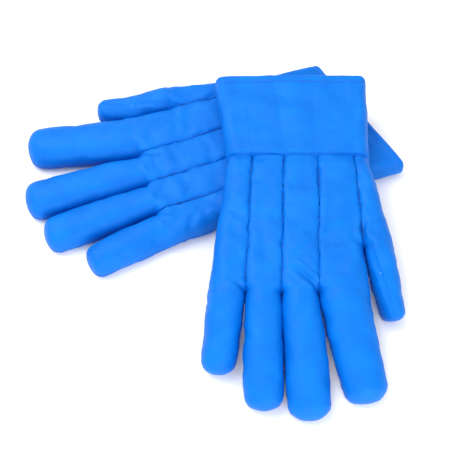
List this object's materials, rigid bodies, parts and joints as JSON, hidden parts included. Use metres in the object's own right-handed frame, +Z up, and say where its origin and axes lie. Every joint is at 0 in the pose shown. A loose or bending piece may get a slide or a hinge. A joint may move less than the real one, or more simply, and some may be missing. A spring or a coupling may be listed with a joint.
{
  "type": "cryogenic gloves",
  "caption": "Pair of padded cryogenic gloves with gauntlet cuffs, right glove lying across the left; digits bend at the knuckles and the right glove lifts off.",
  "frame": {"origin": "on the table under the middle of the pair's bounding box", "axes": "+Z up from the table, +X along the left glove from its fingers to its cuff, +Y along the right glove from its fingers to its cuff"},
  "size_m": [0.334, 0.3408, 0.0561],
  "materials": {
    "blue_nylon_shell": "matte woven nylon with a fine crinkle",
    "blue_nylon_palm": "matte woven nylon, slightly rough",
    "insulating_batting": "soft white fibre batting",
    "brushed_knit_lining": "brushed knit"
  },
  "bodies": {
    "left hand": {"left_cuff_batting": "insulating_batting", "left_cuff_shell": "blue_nylon_shell", "left_hand_batting": "insulating_batting", "left_hand_index_back_panel": "blue_nylon_shell", "left_hand_little_back_panel": "blue_nylon_shell", "left_hand_middle_back_panel": "blue_nylon_shell", "left_hand_ring_back_panel": "blue_nylon_shell", "left_hand_thumb_back_panel": "blue_nylon_shell", "left_lining": "brushed_knit_lining", "left_palm_panel": "blue_nylon_palm"},
    "left little finger": {"left_little_back_panel": "blue_nylon_shell", "left_little_batting": "insulating_batting", "left_little_lining": "brushed_knit_lining", "left_little_palm_panel": "blue_nylon_palm"},
    "left ring finger": {"left_ring_back_panel": "blue_nylon_shell", "left_ring_batting": "insulating_batting", "left_ring_lining": "brushed_knit_lining", "left_ring_palm_panel": "blue_nylon_palm"},
    "left middle finger": {"left_middle_back_panel": "blue_nylon_shell", "left_middle_batting": "insulating_batting", "left_middle_lining": "brushed_knit_lining", "left_middle_palm_panel": "blue_nylon_palm"},
    "left index finger": {"left_index_back_panel": "blue_nylon_shell", "left_index_batting": "insulating_batting", "left_index_lining": "brushed_knit_lining", "left_index_palm_panel": "blue_nylon_palm"},
    "left thumb": {"left_thumb_back_panel": "blue_nylon_shell", "left_thumb_batting": "insulating_batting", "left_thumb_lining": "brushed_knit_lining", "left_thumb_palm_panel": "blue_nylon_palm"},
    "right hand": {"right_cuff_batting": "insulating_batting", "right_cuff_shell": "blue_nylon_shell", "right_hand_batting": "insulating_batting", "right_hand_index_back_panel": "blue_nylon_shell", "right_hand_little_back_panel": "blue_nylon_shell", "right_hand_middle_back_panel": "blue_nylon_shell", "right_hand_ring_back_panel": "blue_nylon_shell", "right_hand_thumb_back_panel": "blue_nylon_shell", "right_lining": "brushed_knit_lining", "right_palm_panel": "blue_nylon_palm"},
    "right little finger": {"right_little_back_panel": "blue_nylon_shell", "right_little_batting": "insulating_batting", "right_little_lining": "brushed_knit_lining", "right_little_palm_panel": "blue_nylon_palm"},
    "right ring finger": {"right_ring_back_panel": "blue_nylon_shell", "right_ring_batting": "insulating_batting", "right_ring_lining": "brushed_knit_lining", "right_ring_palm_panel": "blue_nylon_palm"},
    "right middle finger": {"right_middle_back_panel": "blue_nylon_shell", "right_middle_batting": "insulating_batting", "right_middle_lining": "brushed_knit_lining", "right_middle_palm_panel": "blue_nylon_palm"},
    "right index finger": {"right_index_back_panel": "blue_nylon_shell", "right_index_batting": "insulating_batting", "right_index_lining": "brushed_knit_lining", "right_index_palm_panel": "blue_nylon_palm"},
    "right thumb": {"right_thumb_back_panel": "blue_nylon_shell", "right_thumb_batting": "insulating_batting", "right_thumb_lining": "brushed_knit_lining", "right_thumb_palm_panel": "blue_nylon_palm"}
  },
  "joints": [
    {"name": "right glove lift", "type": "slide", "parent": "left hand", "child": "right hand", "axis": [0, 0, 1], "range_m": [0, 0.15]},
    {"name": "left little knuckle", "type": "hinge", "parent": "left hand", "child": "left little finger", "pos_m": [-0.04667, 0.00075, 0.012], "axis": [0.4226, -0.9063, 0], "range_deg": [-25, 60], "stiffness_Nm_per_rad": 0.1},
    {"name": "left ring knuckle", "type": "hinge", "parent": "left hand", "child": "left ring finger", "pos_m": [-0.05828, 0.02938, 0.012], "axis": [0.3584, -0.9336, 0], "range_deg": [-25, 60], "stiffness_Nm_per_rad": 0.1},
    {"name": "left middle knuckle", "type": "hinge", "parent": "left hand", "child": "left middle finger", "pos_m": [-0.06702, 0.05887, 0.012], "axis": [0.2924, -0.9563, 0], "range_deg": [-25, 60], "stiffness_Nm_per_rad": 0.1},
    {"name": "left index knuckle", "type": "hinge", "parent": "left hand", "child": "left index finger", "pos_m": [-0.07394, 0.0928, 0.012], "axis": [0.1305, -0.9914, 0], "range_deg": [-25, 60], "stiffness_Nm_per_rad": 0.1},
    {"name": "left thumb knuckle", "type": "hinge", "parent": "left hand", "child": "left thumb", "pos_m": [-0.04482, 0.13532, 0.012], "axis": [0.165, -0.9863, 0], "range_deg": [-25, 60], "stiffness_Nm_per_rad": 0.1},
    {"name": "right little knuckle", "type": "hinge", "parent": "right hand", "child": "right little finger", "pos_m": [0.00869, -0.06609, 0.03357], "axis": [0.9976, -0.0697, -0.0037], "range_deg": [-25, 42], "stiffness_Nm_per_rad": 0.1},
    {"name": "right ring knuckle", "type": "hinge", "parent": "right hand", "child": "right ring finger", "pos_m": [0.03945, -0.06908, 0.03341], "axis": [1, 0, 0], "range_deg": [-25, 49], "stiffness_Nm_per_rad": 0.1},
    {"name": "right middle knuckle", "type": "hinge", "parent": "right hand", "child": "right middle finger", "pos_m": [0.07019, -0.06908, 0.03341], "axis": [0.9976, 0.0697, 0.0037], "range_deg": [-25, 50], "stiffness_Nm_per_rad": 0.1},
    {"name": "right index knuckle", "type": "hinge", "parent": "right hand", "child": "right index finger", "pos_m": [0.10469, -0.06609, 0.03357], "axis": [0.9848, 0.1734, 0.0091], "range_deg": [-25, 48], "stiffness_Nm_per_rad": 0.1},
    {"name": "right thumb knuckle", "type": "hinge", "parent": "right hand", "child": "right thumb", "pos_m": [0.1372, -0.02614, 0.03566], "axis": [0.9903, 0.139, 0.0073], "range_deg": [-25, 38], "stiffness_Nm_per_rad": 0.1}
  ]
}
